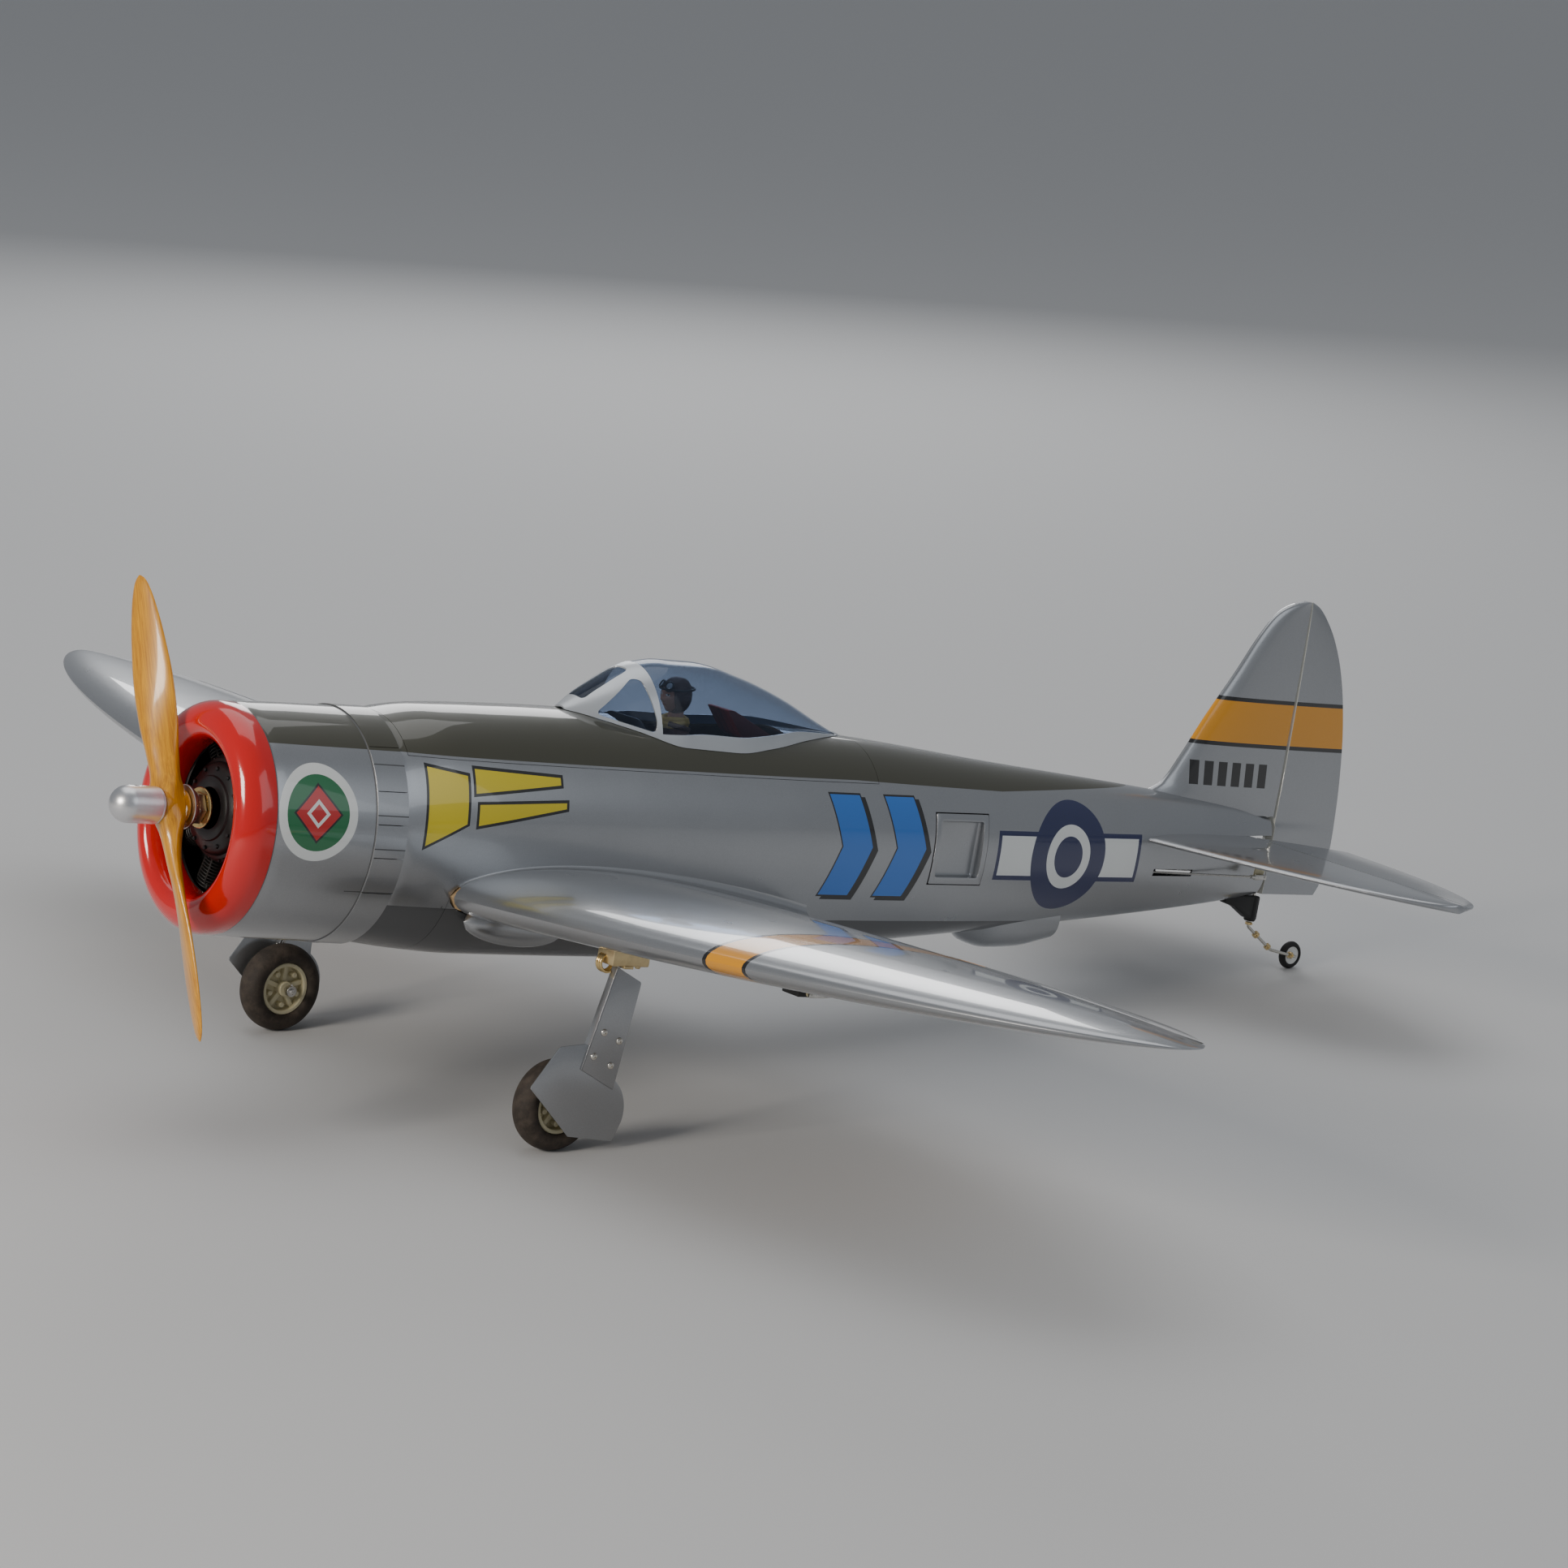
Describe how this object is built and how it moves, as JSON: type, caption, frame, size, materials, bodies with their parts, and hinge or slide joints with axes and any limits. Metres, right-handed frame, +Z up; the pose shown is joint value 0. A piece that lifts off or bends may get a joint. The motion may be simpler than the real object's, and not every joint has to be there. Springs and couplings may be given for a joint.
{
  "type": "radio control warbird plane",
  "caption": "Semi-scale radial-engined warbird for radio control with bubble canopy, fixed legs, working controls and lift-off hatch.",
  "frame": {"origin": "on the ground under the middle of the whole aircraft, as it stands on its three wheels", "axes": "+X towards the aircraft's left wing tip, +Y towards the tail, +Z up"},
  "size_m": [1.592, 1.4598, 0.4529],
  "materials": {
    "silver": "silver covering film, satin metallic",
    "olive": "dark olive, satin",
    "plywood": "bare plywood",
    "machined_metal": "turned and satin polished",
    "spring_wire": "bright wire",
    "engine_black": "moulded black, satin",
    "nylon": "natural moulded nylon",
    "brass": "bright",
    "tyre_rubber": "dull brown-black rubber",
    "white_plastic": "moulded white",
    "battery_wrap": "shrink wrap",
    "electronics": "moulded case",
    "clear_canopy": "clear, lightly smoked",
    "pilot_paint": "hand painted",
    "headrest_paint": "painted",
    "prop_wood": "yellow stained, varnished"
  },
  "bodies": {
    "airframe": {"fuselage_shell": "silver", "firewall": "plywood", "motor_mount": "machined_metal", "motor_stator": "machined_metal", "dummy_crankcase": "engine_black", "dummy_cylinders": "engine_black", "cowl": "silver", "wing_left": "silver", "wing_right": "silver", "wing_centre": "plywood", "wing_joiner": "machined_metal", "wing_bolts": "nylon", "belly_pan": "silver", "aileron_servos": "engine_black", "stabiliser": "silver", "fin": "silver", "hinge_pins": "spring_wire", "gear_wires": "spring_wire", "gear_blocks": "brass", "strut_covers": "silver", "wheel_doors": "silver", "gear_screws": "spring_wire", "axle_collars": "spring_wire", "fuselage_servos": "engine_black", "equipment_tray": "plywood", "battery": "battery_wrap", "speed_controller": "electronics", "receiver": "electronics", "tail_bracket": "engine_black", "belly_scoop": "silver", "exhaust_frames": "silver"},
    "hatch": {"top_hatch": "olive", "cockpit_floor": "engine_black", "canopy_frame": "silver", "canopy_glass": "clear_canopy", "pilot": "pilot_paint", "headrest": "headrest_paint"},
    "propeller_shaft": {"motor_bell": "engine_black", "prop_driver": "machined_metal", "propeller": "prop_wood", "bullet_nut": "machined_metal"},
    "wheel_left": {"tyre_left": "tyre_rubber", "hub_left": "nylon"},
    "wheel_right": {"tyre_right": "tyre_rubber", "hub_right": "nylon"},
    "rudder_body": {"rudder": "silver", "tail_wire": "spring_wire"},
    "tail_wheel": {"tail_tyre": "tyre_rubber", "tail_hub": "white_plastic"},
    "elevator_body": {"elevators": "silver"},
    "aileron_left_body": {"aileron_left": "silver"},
    "aileron_right_body": {"aileron_right": "silver"},
    "aileron_arm_left_body": {"aileron_arm_left": "nylon"},
    "aileron_arm_right_body": {"aileron_arm_right": "nylon"},
    "aileron_rod_left_body": {"aileron_rod_left": "spring_wire"},
    "aileron_rod_right_body": {"aileron_rod_right": "spring_wire"},
    "elevator_rod_body": {"elevator_rod": "spring_wire"},
    "rudder_rod_body": {"rudder_rod": "spring_wire"},
    "elevator_arm_body": {"elevator_arm": "nylon"},
    "rudder_arm_body": {"rudder_arm": "nylon"}
  },
  "joints": [
    {"name": "hatch_lift", "type": "slide", "parent": "airframe", "child": "hatch", "axis": [0, 0.1219, 0.9925], "range_m": [0, 0.12]},
    {"name": "propeller_spin", "type": "hinge", "parent": "airframe", "child": "propeller_shaft", "pos_m": [0, -0.6728, 0.275], "axis": [0, 0.9925, -0.1219], "continuous": true},
    {"name": "wheel_left_spin", "type": "hinge", "parent": "airframe", "child": "wheel_left", "pos_m": [0.207, -0.40545, 0.04], "axis": [1, 0, 0], "continuous": true},
    {"name": "wheel_right_spin", "type": "hinge", "parent": "airframe", "child": "wheel_right", "pos_m": [-0.207, -0.40545, 0.04], "axis": [1, 0, 0], "continuous": true},
    {"name": "rudder_hinge", "type": "hinge", "parent": "airframe", "child": "rudder_body", "pos_m": [0, 0.64161, 0.21436], "axis": [0, 0.1219, 0.9925], "range_deg": [-25, 25]},
    {"name": "tail_wheel_spin", "type": "hinge", "parent": "rudder_body", "child": "tail_wheel", "pos_m": [0, 0.68552, 0.014], "axis": [1, 0, 0], "continuous": true},
    {"name": "elevator_hinge", "type": "hinge", "parent": "airframe", "child": "elevator_body", "pos_m": [0, 0.59264, 0.1438], "axis": [1, 0, 0], "range_deg": [-20, 20]},
    {"name": "aileron_left_hinge", "type": "hinge", "parent": "airframe", "child": "aileron_left_body", "pos_m": [0.37, -0.1393, 0.17263], "axis": [0.9829, -0.1588, 0.0933], "range_deg": [-20, 20]},
    {"name": "aileron_right_hinge", "type": "hinge", "parent": "airframe", "child": "aileron_right_body", "pos_m": [-0.37, -0.1393, 0.17263], "axis": [0.9829, 0.1588, -0.0933], "range_deg": [-20, 20]},
    {"name": "aileron_arm_left_hinge", "type": "hinge", "parent": "airframe", "child": "aileron_arm_left_body", "pos_m": [0.405, -0.31462, 0.18894], "axis": [1, 0, 0], "range_deg": [-41, 41]},
    {"name": "aileron_arm_right_hinge", "type": "hinge", "parent": "airframe", "child": "aileron_arm_right_body", "pos_m": [-0.405, -0.31462, 0.18894], "axis": [1, 0, 0], "range_deg": [-41, 41]},
    {"name": "aileron_rod_left_slide", "type": "slide", "parent": "airframe", "child": "aileron_rod_left_body", "axis": [0, 0.9925, -0.1219], "range_m": [-0.006, 0.006]},
    {"name": "aileron_rod_right_slide", "type": "slide", "parent": "airframe", "child": "aileron_rod_right_body", "axis": [0, 0.9925, -0.1219], "range_m": [-0.006, 0.006]},
    {"name": "elevator_rod_slide", "type": "slide", "parent": "airframe", "child": "elevator_rod_body", "axis": [0, 0.9925, -0.1219], "range_m": [-0.0115, 0.0115]},
    {"name": "rudder_rod_slide", "type": "slide", "parent": "airframe", "child": "rudder_rod_body", "axis": [0, 0.9925, -0.1219], "range_m": [-0.0125, 0.0125]},
    {"name": "elevator_arm_hinge", "type": "hinge", "parent": "airframe", "child": "elevator_arm_body", "pos_m": [0.032, 0.04476, 0.21108], "axis": [1, 0, 0], "range_deg": [-20.5, 20.5]},
    {"name": "rudder_arm_hinge", "type": "hinge", "parent": "airframe", "child": "rudder_arm_body", "pos_m": [0, -0.01918, 0.18266], "axis": [0, 0.1219, 0.9925], "range_deg": [-25.5, 25.5]}
  ],
  "couplings": [
    {"joint": "aileron_right_hinge", "follows": "aileron_left_hinge", "ratio": -1},
    {"joint": "aileron_arm_left_hinge", "follows": "aileron_left_hinge", "ratio": 2},
    {"joint": "aileron_arm_right_hinge", "follows": "aileron_left_hinge", "ratio": -2},
    {"joint": "aileron_rod_left_slide", "follows": "aileron_left_hinge", "m_per_rad": 0.016},
    {"joint": "aileron_rod_right_slide", "follows": "aileron_left_hinge", "m_per_rad": -0.016},
    {"joint": "elevator_arm_hinge", "follows": "elevator_hinge", "ratio": 1},
    {"joint": "elevator_rod_slide", "follows": "elevator_hinge", "m_per_rad": 0.032},
    {"joint": "rudder_arm_hinge", "follows": "rudder_hinge", "ratio": 1},
    {"joint": "rudder_rod_slide", "follows": "rudder_hinge", "m_per_rad": -0.028}
  ]
}
